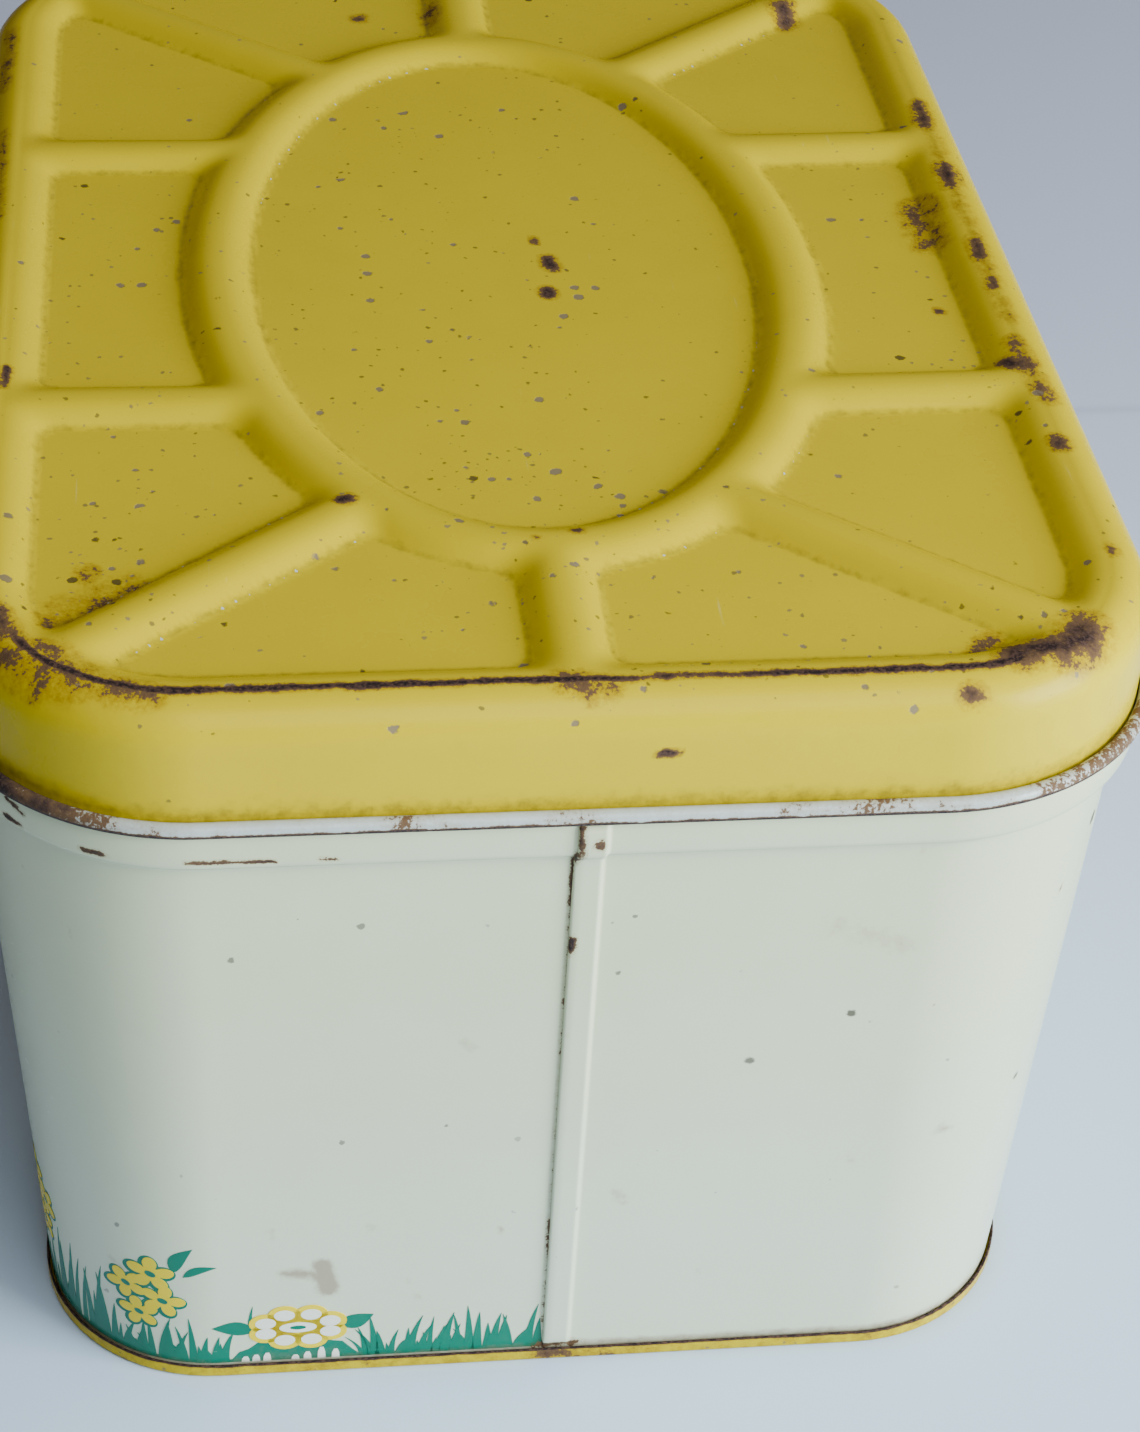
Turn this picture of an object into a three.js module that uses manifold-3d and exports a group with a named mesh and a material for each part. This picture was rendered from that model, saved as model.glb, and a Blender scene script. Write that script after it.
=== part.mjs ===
// Kitchen storage tin: a tapered two-piece sheet-metal body with a seamed-on base,
// and a plug-in lid with a pressed oval and ten spokes.
// Millimetres, +Z up. Origin at the middle of the base, where the tin stands.
// X runs along the length. The decorated wall is on -Y, the plain wall on +Y.

import * as THREE from "three";
import { mergeVertices } from "three/addons/utils/BufferGeometryUtils.js";
import Module from "manifold-3d";

const wasm = await Module();
wasm.setup();

// ---- driving dimensions ----

const sheet = 0.5; // metal thickness
const gap = 0.3; // clearance between pieces that touch on the real tin

// plan outline: the lid's skirt; every other outline is this one offset in or out
const lidLength = 308;
const lidWidth = 216;
const lidCorner = 43.7;
const cornerSteps = 8; // flats in one rounded corner

// heights
const crestZ = 171.8; // top of the lid's raised beads
const rimZ = 150.6; // top of the mouth curl
const shoulderZ = 138.5; // where the wall steps out to the collar

// body outline offsets from the lid skirt, outward positive
const collarInset = gap; // inside of the collar
const wallTopInset = -2.9; // inside of the wall below the shoulder
const wallFootInset = -10; // inside of the wall at the base
const collarBulge = 0.25;
const curlRadius = 1.45;
const curlEndAngle = -80; // where the raw edge tucks in under the curl, degrees
const curlSteps = 7;
const shoulderBelow = 2; // the shoulder starts this far below shoulderZ
const shoulderRise = 4;
const shoulderSteps = 4;

// side seams, in the middle of both ends
const seamWidth = 5;
const seamLap = 4.2; // width of the front wall's tongue under the strip
const seamLift = sheet + gap;
const seamFootZ = 4.4;
const seamHeadZ = 146.8;

// base seam
const baseSeamHeight = 3.6;
const basePanelZ = 3.2; // top of the base panel
const baseRounding = 0.4;

// lid pressing
const plugDepth = 9.6; // how far the skirt reaches below the curl
const beadHeight = 3.15;
const skirtRounding = 7.5;
const borderBead = 16; // skirt to recess
const ringBead = 14.5;
const spokeBead = 14.5;
const ovalLong = 96; // half axis of the oval recess along X
const ovalShort = 51.3;
const beadSteps = 6; // flats across one bead
const ringSteps = 48; // flats round the oval

// spokes run from the oval's ring to the border; one quarter, mirrored
const sideSpokeX = 51.5;
const cornerSpoke = { from: [85.5, 31], to: [134.5, 90] };

// ---- plan outlines ----

// stations of the rounded rectangle, each a point of the skirt outline and its outward normal
function cornerStations(signX, signY) {
  const cx = signX * (lidLength / 2 - lidCorner);
  const cy = signY * (lidWidth / 2 - lidCorner);
  const start = Math.atan2(signY, signX) - Math.PI / 4;
  return Array.from({ length: cornerSteps + 1 }, (_, i) => {
    const angle = start + (i / cornerSteps) * (Math.PI / 2);
    const normal = new THREE.Vector2(Math.cos(angle), Math.sin(angle));
    const point = new THREE.Vector2(cx, cy).addScaledVector(normal, lidCorner);
    return { point, normal, lift: 0 };
  });
}

function endStation(signX, y, lift = 0) {
  const point = new THREE.Vector2((signX * lidLength) / 2, y);
  return { point, normal: new THREE.Vector2(signX, 0), lift };
}

const outline = [
  ...cornerStations(1, -1),
  ...cornerStations(1, 1),
  ...cornerStations(-1, 1),
  ...cornerStations(-1, -1),
];

function ellipseStations(halfX, halfY, steps) {
  return Array.from({ length: steps }, (_, i) => {
    const angle = (i / steps) * Math.PI * 2;
    const point = new THREE.Vector2(halfX * Math.cos(angle), halfY * Math.sin(angle));
    const normal = new THREE.Vector2(halfY * Math.cos(angle), halfX * Math.sin(angle)).normalize();
    return { point, normal, lift: 0 };
  });
}

// ---- swept and lofted solids ----

// A profile point is [offset along the station's normal, height, lift share].
function placed(station, [offset, z, liftShare = 0]) {
  const p = station.point.clone().addScaledVector(station.normal, offset + liftShare * station.lift);
  return [p.x, p.y, z];
}

function solidGeometry(points, faces) {
  const geometry = new THREE.BufferGeometry();
  geometry.setAttribute("position", new THREE.Float32BufferAttribute(points.flat(), 3));
  geometry.setIndex(faces.flat());
  return geometry;
}

// Quads between neighbouring stations and neighbouring profile points.
function skin(stationCount, profileCount, closedPath, closedProfile) {
  const faces = [];
  const lastStation = closedPath ? stationCount : stationCount - 1;
  const lastPoint = closedProfile ? profileCount : profileCount - 1;
  for (let s = 0; s < lastStation; s++) {
    for (let p = 0; p < lastPoint; p++) {
      const a = s * profileCount + p;
      const b = s * profileCount + ((p + 1) % profileCount);
      const c = ((s + 1) % stationCount) * profileCount + p;
      const d = ((s + 1) % stationCount) * profileCount + ((p + 1) % profileCount);
      faces.push([a, c, d], [a, d, b]);
    }
  }
  return faces;
}

// Closed profile swept round a closed path: a ring.
function sweptRing(stations, profile) {
  const points = stations.flatMap((station) => profile.map((p) => placed(station, p)));
  return solidGeometry(points, skin(stations.length, profile.length, true, true));
}

// Closed profile swept along an open path, with flat ends.
function sweptStrip(stations, profile) {
  const points = stations.flatMap((station) => profile.map((p) => placed(station, p)));
  const faces = skin(stations.length, profile.length, false, true);
  const ends = THREE.ShapeUtils.triangulateShape(
    profile.map(([offset, z]) => new THREE.Vector2(offset, z)),
    [],
  );
  const last = (stations.length - 1) * profile.length;
  for (const [a, b, c] of ends) {
    faces.push([a, b, c], [last + a, last + c, last + b]);
  }
  return solidGeometry(points, faces);
}

// Open profile swept round a closed path and closed by a flat cap at each end: a dish or block.
function cappedLoft(stations, profile) {
  const points = stations.flatMap((station) => profile.map((p) => placed(station, p)));
  const faces = skin(stations.length, profile.length, true, false);
  const first = points.push([0, 0, profile[0][1]]) - 1;
  const last = points.push([0, 0, profile.at(-1)[1]]) - 1;
  for (let s = 0; s < stations.length; s++) {
    const next = (s + 1) % stations.length;
    faces.push([first, next * profile.length, s * profile.length]);
    faces.push([
      last,
      s * profile.length + profile.length - 1,
      next * profile.length + profile.length - 1,
    ]);
  }
  return solidGeometry(points, faces);
}

// ---- booleans ----

function toManifold(geometry) {
  const bare = geometry.clone();
  bare.deleteAttribute("normal");
  bare.deleteAttribute("uv");
  const merged = mergeVertices(bare, 1e-5);
  return new wasm.Manifold(
    new wasm.Mesh({
      numProp: 3,
      vertProperties: new Float32Array(merged.attributes.position.array),
      triVerts: new Uint32Array(merged.index.array),
    }),
  );
}

function fromManifold(solid) {
  const mesh = solid.getMesh();
  const geometry = new THREE.BufferGeometry();
  geometry.setAttribute("position", new THREE.Float32BufferAttribute(mesh.vertProperties, 3));
  geometry.setIndex(new THREE.Uint32BufferAttribute(mesh.triVerts, 1));
  return geometry;
}

function box(low, high) {
  const size = new THREE.Vector3().subVectors(high, low);
  const middle = new THREE.Vector3().addVectors(low, high).multiplyScalar(0.5);
  const geometry = new THREE.BoxGeometry(size.x, size.y, size.z);
  return toManifold(geometry.translate(middle.x, middle.y, middle.z));
}

// ---- sheet profiles ----

// Points on an arc in the offset-height plane, angles in degrees.
function arc(centre, radius, fromAngle, toAngle, steps) {
  return Array.from({ length: steps + 1 }, (_, i) => {
    const angle = THREE.MathUtils.degToRad(fromAngle + ((toAngle - fromAngle) * i) / steps);
    return [centre[0] + radius * Math.cos(angle), centre[1] + radius * Math.sin(angle)];
  });
}

// Height of a rounded bead across its width, 0 at both feet and 1 at the crest.
function beadRise(share) {
  return (1 - Math.cos(share * Math.PI * 2)) / 2;
}

// The inner face of the wall from foot to curl; the outer face is one sheet further out.
function wallInnerFace() {
  const wallTopZ = shoulderZ - shoulderBelow;
  const slope = (wallTopInset - wallFootInset) / wallTopZ;
  const seamFoot = wallFootInset + slope * seamFootZ;
  const shoulder = Array.from({ length: shoulderSteps + 1 }, (_, i) => {
    const share = i / shoulderSteps;
    const eased = (1 - Math.cos(share * Math.PI)) / 2;
    const offset = wallTopInset + (collarInset - wallTopInset) * eased;
    return [offset, wallTopZ + share * shoulderRise, 1];
  });
  const collarMiddleZ = (shoulderZ + rimZ) / 2;
  return [
    [wallFootInset, sheet + gap, 0],
    [seamFoot - slope, seamFootZ - 1, 0],
    [seamFoot, seamFootZ, 1],
    ...shoulder,
    [collarInset + collarBulge, collarMiddleZ, 1],
    [collarInset, seamHeadZ, 1],
    [collarInset, seamHeadZ + 1, 0],
  ];
}

function wallProfile() {
  const inner = wallInnerFace();
  const outer = inner.map(([offset, z, lift]) => [offset + sheet, z, lift]);
  const curlCentre = [collarInset + curlRadius, rimZ - curlRadius];
  const curlInside = arc(curlCentre, curlRadius - sheet, 180, curlEndAngle, curlSteps);
  const curlOutside = arc(curlCentre, curlRadius, curlEndAngle, 180, curlSteps);
  return [...outer, ...curlInside, ...curlOutside, ...inner.reverse()];
}

// ---- the pieces ----

// The decorated half. Its ends carry on as tongues under the back wall's seam strips,
// cut short of the base seam and of the curl.
function frontWall() {
  const stations = [
    endStation(-1, seamLap),
    endStation(-1, -gap),
    ...cornerStations(-1, -1),
    ...cornerStations(1, -1),
    endStation(1, -gap),
    endStation(1, seamLap),
  ];
  const whole = toManifold(sweptStrip(stations, wallProfile()));
  const reach = lidLength;
  const foot = box(
    new THREE.Vector3(-reach, -gap, -1),
    new THREE.Vector3(reach, seamWidth, seamFootZ + sheet),
  );
  const head = box(
    new THREE.Vector3(-reach, -gap, seamHeadZ - sheet),
    new THREE.Vector3(reach, seamWidth, rimZ + 1),
  );
  return fromManifold(whole.subtract(foot).subtract(head));
}

// The plain half. Its ends step out by one sheet into strips that lap over the tongues.
function backWall() {
  const stepStart = seamWidth - sheet;
  const stepEnd = seamWidth + sheet / 2;
  const stations = [
    endStation(1, 0, seamLift),
    endStation(1, stepStart, seamLift),
    endStation(1, stepEnd),
    ...cornerStations(1, 1),
    ...cornerStations(-1, 1),
    endStation(-1, stepEnd),
    endStation(-1, stepStart, seamLift),
    endStation(-1, 0, seamLift),
  ];
  return sweptStrip(stations, wallProfile());
}

// A tray with a channel round its edge that takes the foot of the walls.
function basePanel() {
  const channelInner = wallFootInset - gap;
  const channelOuter = wallFootInset + sheet + 2 * gap;
  const profile = [
    [channelInner - sheet, basePanelZ - sheet],
    [channelInner - sheet, baseRounding],
    [channelInner - sheet + baseRounding, 0],
    [channelOuter + sheet - baseRounding, 0],
    [channelOuter + sheet, baseRounding],
    [channelOuter + sheet, baseSeamHeight - gap],
    [channelOuter + gap, baseSeamHeight],
    [channelOuter, baseSeamHeight - gap],
    [channelOuter, sheet],
    [channelInner, sheet],
    [channelInner, basePanelZ],
  ];
  return cappedLoft(outline, profile);
}

// The lid's outer form as a solid block: skirt, border bead, ring and spokes.
function lidBlock() {
  const recessZ = crestZ - beadHeight;
  const footZ = rimZ - plugDepth;
  const innerSlope = borderBead - skirtRounding;
  const slopeSteps = 4;
  const border = [
    [0, footZ],
    ...arc([-skirtRounding, crestZ - skirtRounding], skirtRounding, 0, 90, beadSteps),
    ...Array.from({ length: slopeSteps }, (_, i) => {
      const share = (i + 1) / slopeSteps;
      return [-skirtRounding - share * innerSlope, recessZ + beadHeight * beadRise((1 - share) / 2)];
    }),
  ];
  let block = toManifold(cappedLoft(outline, border));

  const rootZ = recessZ - sheet;
  const bead = (width, height) => [
    [-width / 2, rootZ],
    [width / 2, rootZ],
    ...Array.from({ length: beadSteps + 1 }, (_, i) => {
      const share = i / beadSteps;
      return [width / 2 - share * width, recessZ + height * beadRise(share)];
    }),
  ];
  const ring = ellipseStations(ovalLong + ringBead / 2, ovalShort + ringBead / 2, ringSteps);
  block = block.add(toManifold(sweptRing(ring, bead(ringBead, beadHeight))));

  const spokeHeight = beadHeight - 0.1; // just under the ring and border crests
  const edgeX = lidLength / 2 - skirtRounding - 1;
  const edgeY = lidWidth / 2 - skirtRounding - 1;
  const spokes = [];
  for (const signX of [1, -1]) {
    spokes.push([[signX * (ovalLong + ringBead / 2), 0], [signX * edgeX, 0]]);
    for (const signY of [1, -1]) {
      const ringY = ovalShort * Math.sqrt(1 - (sideSpokeX / ovalLong) ** 2) + ringBead / 2;
      spokes.push([[signX * sideSpokeX, signY * ringY], [signX * sideSpokeX, signY * edgeY]]);
      spokes.push([
        [signX * cornerSpoke.from[0], signY * cornerSpoke.from[1]],
        [signX * cornerSpoke.to[0], signY * cornerSpoke.to[1]],
      ]);
    }
  }
  for (const [from, to] of spokes) {
    const start = new THREE.Vector2(...from);
    const end = new THREE.Vector2(...to);
    const along = end.clone().sub(start).normalize();
    const normal = new THREE.Vector2(along.y, -along.x);
    const stations = [start, end].map((point) => ({ point, normal, lift: 0 }));
    block = block.add(toManifold(sweptStrip(stations, bead(spokeBead, spokeHeight))));
  }
  return block;
}

// The block hollowed from below by a copy of itself, one sheet lower and one sheet in.
function lid() {
  const block = lidBlock();
  const hollow = block.translate([0, 0, -sheet]);
  const core = toManifold(
    cappedLoft(outline, [
      [-sheet, 0],
      [-sheet, crestZ],
    ]),
  );
  return fromManifold(block.subtract(hollow.intersect(core)));
}

// ---- the tin ----

const paint = (color) => new THREE.MeshStandardMaterial({ color, roughness: 0.35, metalness: 0 });
const creamPaint = paint(0xccd0c4);
const yellowPaint = paint(0xc4ae3e);

const tin = new THREE.Group();

function addPiece(name, geometry, material) {
  const flat = geometry.index ? geometry.toNonIndexed() : geometry;
  flat.computeVertexNormals();
  const mesh = new THREE.Mesh(flat, material);
  mesh.name = name;
  tin.add(mesh);
}

addPiece("front_wall", frontWall(), creamPaint);
addPiece("back_wall", backWall(), creamPaint);
addPiece("base_panel", basePanel(), yellowPaint);
addPiece("lid", lid(), yellowPaint);

export default tin;
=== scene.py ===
import math
import random

import bmesh
import bpy
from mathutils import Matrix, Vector, noise


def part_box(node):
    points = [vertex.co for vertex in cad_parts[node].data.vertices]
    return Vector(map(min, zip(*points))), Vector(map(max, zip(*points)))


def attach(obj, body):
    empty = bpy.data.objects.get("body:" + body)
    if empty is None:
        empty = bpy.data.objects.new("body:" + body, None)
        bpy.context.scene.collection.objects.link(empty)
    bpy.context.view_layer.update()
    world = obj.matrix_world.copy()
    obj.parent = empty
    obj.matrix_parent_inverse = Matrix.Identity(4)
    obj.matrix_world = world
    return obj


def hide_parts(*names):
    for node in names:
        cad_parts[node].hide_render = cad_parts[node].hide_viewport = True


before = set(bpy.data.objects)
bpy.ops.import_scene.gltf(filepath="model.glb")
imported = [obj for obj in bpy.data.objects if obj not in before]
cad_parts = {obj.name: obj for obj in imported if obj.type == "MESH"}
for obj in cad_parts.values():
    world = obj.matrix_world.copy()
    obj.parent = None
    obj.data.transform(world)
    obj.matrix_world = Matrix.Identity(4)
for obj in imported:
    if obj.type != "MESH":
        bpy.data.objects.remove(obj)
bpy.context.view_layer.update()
lidLow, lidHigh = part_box("lid")
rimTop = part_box("front_wall")[1].z
print("frame loaded")

# plan outline of the lid skirt; every other outline is this one, moved in or out
plan = dict(halfLength=lidHigh.x, halfWidth=lidHigh.y, corner=0.0437)
plan["endX"] = plan["halfLength"] - plan["corner"]
plan["sideY"] = plan["halfWidth"] - plan["corner"]
crestTop = lidHigh.z


# working with meshes

def deselectAll():
    if bpy.context.object and bpy.context.object.mode != "OBJECT":
        bpy.ops.object.mode_set(mode="OBJECT")
    bpy.ops.object.select_all(action="DESELECT")


def openForEdit(piece):
    deselectAll()
    bpy.context.view_layer.objects.active = piece
    piece.select_set(True)
    bpy.ops.object.mode_set(mode="EDIT")
    bpy.ops.mesh.select_mode(type="VERT")


def closeEdit():
    bpy.ops.object.mode_set(mode="OBJECT")


def startOutline(name, points, closed):
    # a bare outline of vertices and edges, ready to extrude and spin
    mesh = bpy.data.meshes.new(name)
    edges = [(i, i + 1) for i in range(len(points) - 1)]
    if closed:
        edges.append((len(points) - 1, 0))
    mesh.from_pydata(points, edges, [])
    piece = bpy.data.objects.new(name, mesh)
    bpy.context.scene.collection.objects.link(piece)
    return piece


def pickVerts(piece, test):
    # selects the vertices that pass the test and no others
    bpy.ops.mesh.select_all(action="DESELECT")
    bm = bmesh.from_edit_mesh(piece.data)
    for v in bm.verts:
        if test(v):
            v.select_set(True)
    bm.select_flush(True)
    bmesh.update_edit_mesh(piece.data)


def moveSelected(piece, place):
    bm = bmesh.from_edit_mesh(piece.data)
    for v in bm.verts:
        if v.select:
            v.co = place(v.co)
    bmesh.update_edit_mesh(piece.data)


def extrudeAlong(dx, dy, steps):
    bpy.ops.mesh.extrude_repeat(steps=steps, offset=(dx / steps, dy / steps, 0))


def carryRoundHalf(side, step, fineStep, endY=0.0):
    # carries the selected outline from the +X end round one side (-1 or 1) to the -X end;
    # the +X end is cut finer, because most of the small marks are there
    reach = plan["sideY"] - endY
    arc = plan["corner"] * math.pi / 2
    centre = Vector((plan["endX"], side * plan["sideY"], 0))
    farCentre = Vector((-plan["endX"], side * plan["sideY"], 0))
    turn = -side * math.pi / 2
    extrudeAlong(0, side * reach, round(reach / fineStep))
    bpy.ops.mesh.spin(steps=round(arc / fineStep), angle=turn, center=centre, axis=(0, 0, 1))
    extrudeAlong(-2 * plan["endX"], 0, round(2 * plan["endX"] / step))
    bpy.ops.mesh.spin(steps=round(arc / step), angle=turn, center=farCentre, axis=(0, 0, 1))
    extrudeAlong(0, -side * reach, round(reach / step))


def arcPoints(centre, radius, fromDegrees, toDegrees, steps):
    points = []
    for i in range(steps + 1):
        angle = math.radians(fromDegrees + (toDegrees - fromDegrees) * i / steps)
        points.append((centre[0] + radius * math.cos(angle), centre[1] + radius * math.sin(angle)))
    return points


def smooth(low, high, value):
    t = min(max((value - low) / (high - low), 0.0), 1.0)
    return t * t * (3 - 2 * t)


def planOffset(x, y):
    # distance from the lid skirt's outline, negative inside
    outX = abs(x) - plan["endX"]
    outY = abs(y) - plan["sideY"]
    return math.hypot(max(outX, 0), max(outY, 0)) + min(max(outX, outY), 0) - plan["corner"]


def planNormal(x, y):
    outX = max(abs(x) - plan["endX"], 0)
    outY = max(abs(y) - plan["sideY"], 0)
    length = math.hypot(outX, outY) or 1
    return Vector((math.copysign(outX / length, x), math.copysign(outY / length, y), 0))


def onPlan(co, offset, z):
    # slides a point square to the outline until it lies at this offset, and sets its height
    moved = co + planNormal(co.x, co.y) * (offset - planOffset(co.x, co.y))
    return Vector((moved.x, moved.y, z))


def finishMesh(piece, smoothAngle=40):
    openForEdit(piece)
    bpy.ops.mesh.select_all(action="SELECT")
    bpy.ops.mesh.remove_doubles(threshold=0.00001)
    bpy.ops.mesh.normals_make_consistent(inside=False)
    closeEdit()
    bpy.ops.object.shade_smooth_by_angle(angle=math.radians(smoothAngle))


def paintField(piece, name, level):
    # stores one number at each vertex, worked out from its place and normal
    field = piece.data.attributes.new(name, "FLOAT", "POINT")
    field.data.foreach_set("value", [level(v.co, v.normal) for v in piece.data.vertices])


def markLevel(co, marks):
    # strongest of a list of round or long marks at a point: (start, end, radius, strength)
    level = 0.0
    for start, end, radius, strength in marks:
        along = end - start
        share = 0.0
        if along.length_squared > 0:
            share = min(max((co - start).dot(along) / along.length_squared, 0), 1)
        far = (co - start - along * share).length / radius
        if far < 2.5:
            level = max(level, strength * math.exp(-far * far))
    return level


# shader helpers

def putNode(tree, kind, values=None, **settings):
    node = tree.nodes.new("ShaderNode" + kind)
    for key, value in settings.items():
        setattr(node, key, value)
    for key, value in (values or {}).items():
        if isinstance(value, bpy.types.NodeSocket):
            tree.links.new(value, node.inputs[key])
        else:
            node.inputs[key].default_value = value
    return node


def mathNode(tree, operation, first, second=0.0, third=0.0):
    return putNode(tree, "Math", {0: first, 1: second, 2: third}, operation=operation).outputs[0]


def times(tree, first, second):
    return mathNode(tree, "MULTIPLY", first, second)


def ramp(tree, value, low, high, toLow=0.0, toHigh=1.0):
    values = {"Value": value, "From Min": low, "From Max": high, "To Min": toLow, "To Max": toHigh}
    return putNode(tree, "MapRange", values, interpolation_type="SMOOTHSTEP").outputs[0]


def mixColour(tree, share, first, second, blend="MIX"):
    node = putNode(tree, "Mix", data_type="RGBA", blend_type=blend)
    for key, value in ((0, share), (6, first), (7, second)):
        if isinstance(value, bpy.types.NodeSocket):
            tree.links.new(value, node.inputs[key])
        else:
            node.inputs[key].default_value = value
    return node.outputs[2]


def noiseNode(tree, where, scale, detail=3.0, roughness=0.5):
    values = {"Vector": where, "Scale": scale, "Detail": detail, "Roughness": roughness}
    return putNode(tree, "TexNoise", values)


def newGroup(name, takes, gives):
    tree = bpy.data.node_groups.new(name, "ShaderNodeTree")
    for socket, kind, value in takes:
        made = tree.interface.new_socket(socket, in_out="INPUT", socket_type="NodeSocket" + kind)
        if value is not None:
            made.default_value = value
    for socket, kind in gives:
        tree.interface.new_socket(socket, in_out="OUTPUT", socket_type="NodeSocket" + kind)
    source = tree.nodes.new("NodeGroupInput")
    target = tree.nodes.new("NodeGroupOutput")
    return tree, source, target


def useGroup(tree, group, values):
    node = tree.nodes.new("ShaderNodeGroup")
    node.node_tree = group
    for key, value in values.items():
        if isinstance(value, bpy.types.NodeSocket):
            tree.links.new(value, node.inputs[key])
        else:
            node.inputs[key].default_value = value
    return node


def rgb(r, g, b):
    return (r, g, b, 1.0)


def makeRustGroup():
    # ragged rust where Level is high, with a soft brown stain round it
    tree, source, target = newGroup(
        "rustPatches",
        [("Level", "Float", 0.0), ("Size", "Float", 240.0)],
        [("Rust", "Float"), ("Stain", "Float"), ("Colour", "Color"), ("Height", "Float")],
    )
    where = putNode(tree, "TexCoord").outputs["Object"]
    size = source.outputs["Size"]
    level = source.outputs["Level"]
    coarse = noiseNode(tree, where, size, 5.0, 0.62).outputs[0]
    fine = noiseNode(tree, where, times(tree, size, 5.3), 4.0, 0.6).outputs[0]
    ragged = mathNode(tree, "MULTIPLY_ADD", coarse, 1.3, times(tree, fine, 0.8))
    total = mathNode(tree, "ADD", level, mathNode(tree, "SUBTRACT", ragged, 1.05))
    present = ramp(tree, level, 0.03, 0.16)
    rust = times(tree, ramp(tree, total, 0.37, 0.46), present)
    stain = times(tree, ramp(tree, total, -0.12, 0.5), present)
    browns = (rgb(0.020, 0.011, 0.011), rgb(0.085, 0.045, 0.030))
    dark = mixColour(tree, ramp(tree, fine, 0.42, 0.62), *browns)
    warm = mixColour(tree, ramp(tree, total, 0.85, 0.5), dark, rgb(0.14, 0.075, 0.032))
    tree.links.new(rust, target.inputs["Rust"])
    tree.links.new(stain, target.inputs["Stain"])
    tree.links.new(warm, target.inputs["Colour"])
    tree.links.new(times(tree, rust, fine), target.inputs["Height"])
    return tree


def makeSpeckGroup():
    # small round spots, more of them where Level is high
    tree, source, target = newGroup(
        "specks",
        [("Level", "Float", 0.0), ("Size", "Float", 260.0), ("Largest", "Float", 0.36)],
        [("Speck", "Float"), ("Tone", "Float")],
    )
    where = putNode(tree, "TexCoord").outputs["Object"]
    wobble = noiseNode(tree, where, 900.0, 2.0, 0.6).outputs[1]
    shift = putNode(tree, "VectorMath", {0: wobble, 1: (0.0011, 0.0011, 0.0011)}, operation="MULTIPLY")
    moved = putNode(tree, "VectorMath", {0: where, 1: shift.outputs[0]}, operation="ADD").outputs[0]
    cells = putNode(tree, "TexVoronoi", {"Vector": moved, "Scale": source.outputs["Size"]})
    pick = putNode(tree, "SeparateColor", {0: cells.outputs["Color"]})
    chosen = mathNode(tree, "LESS_THAN", pick.outputs[0], source.outputs["Level"])
    spread = mathNode(tree, "POWER", pick.outputs[1], 2.2)
    radius = mathNode(tree, "MULTIPLY_ADD", spread, source.outputs["Largest"], 0.05)
    inside = mathNode(tree, "SUBTRACT", radius, cells.outputs["Distance"])
    spot = times(tree, ramp(tree, inside, -0.03, 0.05), chosen)
    tree.links.new(spot, target.inputs["Speck"])
    tree.links.new(pick.outputs[2], target.inputs["Tone"])
    return tree


def makeFilmGroup():
    # stoved paint: slow fading, fine scratches, a faint orange peel
    tree, source, target = newGroup(
        "paintFilm",
        [("Fade", "Float", 0.5)],
        [("Fading", "Float"), ("Scratch", "Float"), ("Gloss", "Float"), ("Height", "Float")],
    )
    where = putNode(tree, "TexCoord").outputs["Object"]
    slow = noiseNode(tree, where, 14.0, 3.0, 0.55).outputs[0]
    medium = noiseNode(tree, where, 95.0, 4.0, 0.6).outputs[0]
    peel = noiseNode(tree, where, 1400.0, 2.0, 0.5).outputs[0]
    mixed = mathNode(tree, "MULTIPLY_ADD", slow, 0.65, times(tree, medium, 0.35))
    fading = times(tree, ramp(tree, mixed, 0.3, 0.7), source.outputs["Fade"])
    slanting = {"Vector": where, "Rotation": (0.6, 0.4, 0.5), "Scale": (60, 1500, 1500)}
    turned = putNode(tree, "Mapping", slanting).outputs[0]
    lines = noiseNode(tree, turned, 1.0, 2.0, 0.4).outputs[0]
    gate = ramp(tree, noiseNode(tree, where, 55.0, 3.0, 0.6).outputs[0], 0.55, 0.75)
    scratch = times(tree, ramp(tree, lines, 0.68, 0.76), gate)
    gloss = mathNode(tree, "MULTIPLY_ADD", medium, 0.16, times(tree, scratch, 0.2))
    tree.links.new(fading, target.inputs["Fading"])
    tree.links.new(scratch, target.inputs["Scratch"])
    tree.links.new(gloss, target.inputs["Gloss"])
    tree.links.new(peel, target.inputs["Height"])
    return tree


rustPatches = makeRustGroup()
specks = makeSpeckGroup()
paintFilm = makeFilmGroup()


def attributeValue(tree, name):
    return putNode(tree, "Attribute", attribute_name=name).outputs["Fac"]


def nearZero(tree, value):
    # 1 where the value is nothing, fading out over about one unit either side
    square = times(tree, value, value)
    return mathNode(tree, "POWER", 2.718, times(tree, square, -1.0))


def newMaterial(name):
    material = bpy.data.materials.new(name)
    material.use_nodes = True
    shader = material.node_tree.nodes["Principled BSDF"]
    return material, material.node_tree, shader


largeSpecks = dict(largest=0.27, pale=(0.3, 0.8), dark=rgb(0.04, 0.026, 0.018), strength=0.85)
smallSpecks = dict(largest=0.22, pale=(0.2, 0.7), dark=rgb(0.05, 0.035, 0.02), strength=0.7)


def laySpecks(tree, colour, level, size, kind, pale):
    # lays one kind of speck over the colour; gives the new colour and where the specks are
    group = useGroup(tree, specks, {"Level": level, "Size": size, "Largest": kind["largest"]})
    tone = mixColour(tree, ramp(tree, group.outputs["Tone"], *kind["pale"]), kind["dark"], pale)
    share = times(tree, group.outputs["Speck"], kind["strength"])
    return mixColour(tree, share, colour, tone), group.outputs["Speck"]


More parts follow.
